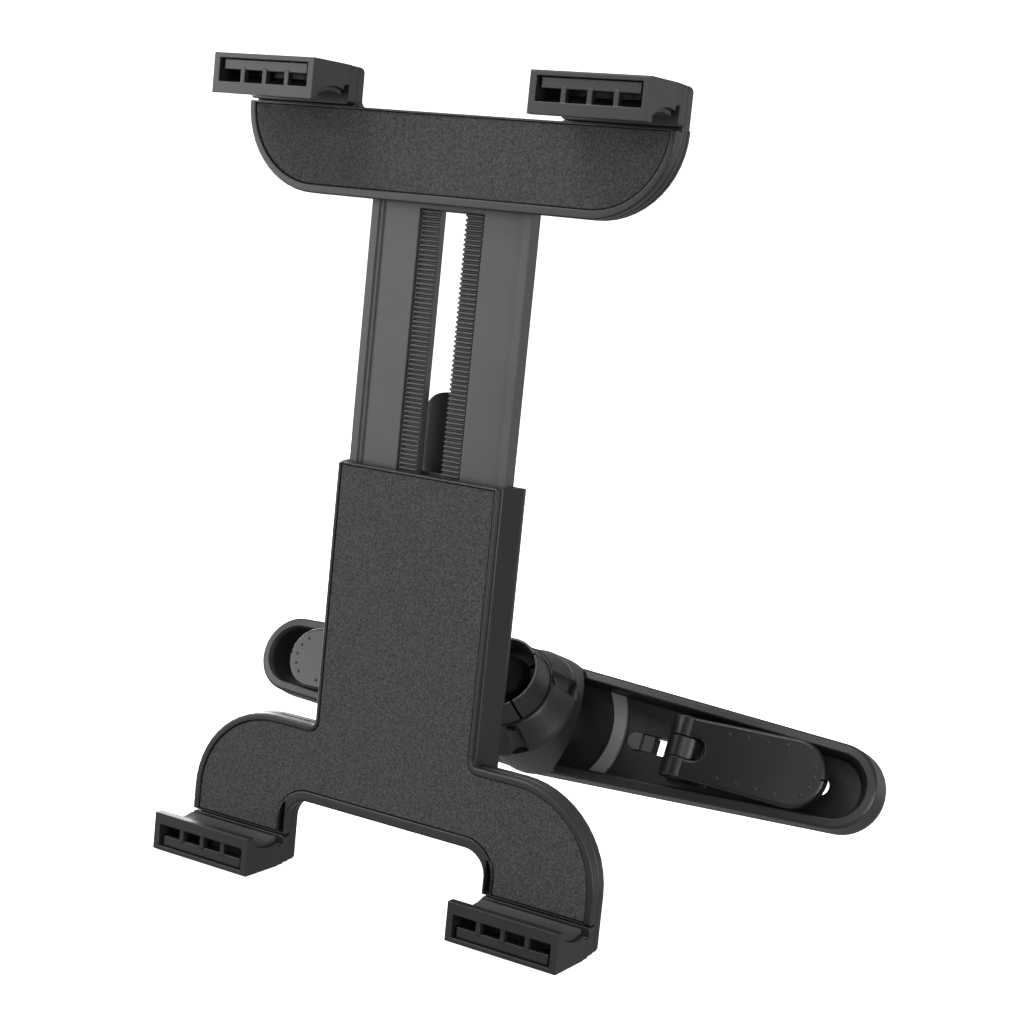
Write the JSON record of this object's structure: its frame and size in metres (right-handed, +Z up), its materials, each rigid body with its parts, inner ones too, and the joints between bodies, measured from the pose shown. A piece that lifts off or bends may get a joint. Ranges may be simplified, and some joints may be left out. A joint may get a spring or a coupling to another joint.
{
  "type": "headrest tablet mount",
  "caption": "Sprung tablet holder with four claws on a ball stud, carried by a clamp bar whose cam levers grip the two posts of a car headrest.",
  "frame": {"origin": "midway between the axes of the two headrest posts, at the middle height of the clamp bar", "axes": "+Z up, +Y away from the person watching, +X to the watcher's right; the tablet holder stands upright and the headrest posts lean back by 23 degrees"},
  "size_m": [0.1956, 0.1212, 0.2],
  "materials": {
    "body_plastic": "satin black moulded plastic",
    "claw_plastic": "satin black moulded plastic, a little smoother",
    "stem_plastic": "dark grey satin plastic",
    "gloss_black": "semi-gloss black plastic",
    "grey_plastic": "dark grey plastic",
    "natural_plastic": "uncoloured plastic, hidden",
    "foam": "fine-grained foam rubber sheet",
    "rubber": "matte black rubber",
    "steel": "plain zinc-plated steel"
  },
  "bodies": {
    "clamp_bar": {"bar_shell": "body_plastic", "bar_plate": "body_plastic", "bar_screws": "steel", "hub_ring": "grey_plastic", "neck_collar": "body_plastic", "hub_screw": "steel", "slot_stop_left": "grey_plastic", "slot_stop_right": "grey_plastic", "grip_pad_left": "rubber", "grip_pad_right": "rubber"},
    "ring_nut": {"ring_nut": "body_plastic"},
    "ball_cup": {"ball_cup": "body_plastic"},
    "ball_stud": {"ball_stud": "gloss_black", "stud_washer": "steel", "stud_screw": "steel"},
    "holder": {"lower_shell": "body_plastic", "lower_cover": "body_plastic", "lower_pad": "foam", "claw_lower_left": "claw_plastic", "claw_lower_right": "claw_plastic", "claw_pad_lower_left": "rubber", "claw_pad_lower_right": "rubber", "rear_housing": "body_plastic", "lower_screws": "steel", "pawl_spring": "steel"},
    "upper_arm": {"stem": "stem_plastic", "upper_shell": "body_plastic", "upper_cover": "body_plastic", "upper_pad": "foam", "claw_upper_left": "claw_plastic", "claw_upper_right": "claw_plastic", "claw_pad_upper_left": "rubber", "claw_pad_upper_right": "rubber", "upper_screws": "steel"},
    "release": {"release_button": "gloss_black", "pawl": "natural_plastic"},
    "slider_left": {"washer_left": "steel"},
    "grip_left": {"eye_bolt_left": "gloss_black", "lever_pin_left": "steel", "jaw_left": "body_plastic", "jaw_liner_left": "rubber", "clamp_nut_left": "steel"},
    "lever_left": {"lever_left": "gloss_black"},
    "slider_right": {"washer_right": "steel"},
    "grip_right": {"eye_bolt_right": "gloss_black", "lever_pin_right": "steel", "jaw_right": "body_plastic", "jaw_liner_right": "rubber", "clamp_nut_right": "steel"},
    "lever_right": {"lever_right": "gloss_black"}
  },
  "joints": [
    {"name": "ring_nut_turn", "type": "hinge", "parent": "clamp_bar", "child": "ring_nut", "pos_m": [0, -0.03896, 0.01895], "axis": [0, -0.766, 0.6428], "continuous": true},
    {"name": "neck_turn", "type": "hinge", "parent": "clamp_bar", "child": "ball_cup", "pos_m": [0, -0.03896, 0.01895], "axis": [0, -0.766, 0.6428], "continuous": true},
    {"name": "ball_tilt", "type": "hinge", "parent": "ball_cup", "child": "ball_stud", "pos_m": [0, -0.03896, 0.01895], "axis": [1, 0, 0], "range_deg": [-80, 0]},
    {"name": "holder_turn", "type": "hinge", "parent": "ball_stud", "child": "holder", "pos_m": [0, -0.03896, 0.01895], "axis": [0, 1, 0], "continuous": true},
    {"name": "upper_slide", "type": "slide", "parent": "holder", "child": "upper_arm", "axis": [0, 0, 1], "range_m": [-0.062, 0.008]},
    {"name": "release_press", "type": "slide", "parent": "holder", "child": "release", "axis": [0, -1, 0], "range_m": [0, 0.0008], "stiffness_N_per_m": 800, "springref_m": -0.001, "deforming": ["pawl_spring"]},
    {"name": "clamp_slide_left", "type": "slide", "parent": "clamp_bar", "child": "slider_left", "axis": [-1, 0, 0], "range_m": [0, 0.0315]},
    {"name": "clamp_grip_left", "type": "slide", "parent": "slider_left", "child": "grip_left", "axis": [0, 0.9205, -0.3907], "range_m": [0, 0.00094]},
    {"name": "lever_swing_left", "type": "hinge", "parent": "grip_left", "child": "lever_left", "pos_m": [-0.0435, -0.01756, 0.00745], "axis": [0, 0.3907, 0.9205], "range_deg": [0, 100]},
    {"name": "clamp_slide_right", "type": "slide", "parent": "clamp_bar", "child": "slider_right", "axis": [1, 0, 0], "range_m": [0, 0.0315]},
    {"name": "clamp_grip_right", "type": "slide", "parent": "slider_right", "child": "grip_right", "axis": [0, 0.9205, -0.3907], "range_m": [0, 0.00094]},
    {"name": "lever_swing_right", "type": "hinge", "parent": "grip_right", "child": "lever_right", "pos_m": [0.0435, -0.01756, 0.00745], "axis": [0, -0.3907, -0.9205], "range_deg": [0, 100]}
  ],
  "couplings": [
    {"joint": "lever_swing_left", "follows": "clamp_grip_left", "rad_per_m": 1851.8},
    {"joint": "lever_swing_right", "follows": "clamp_grip_right", "rad_per_m": 1851.8}
  ]
}
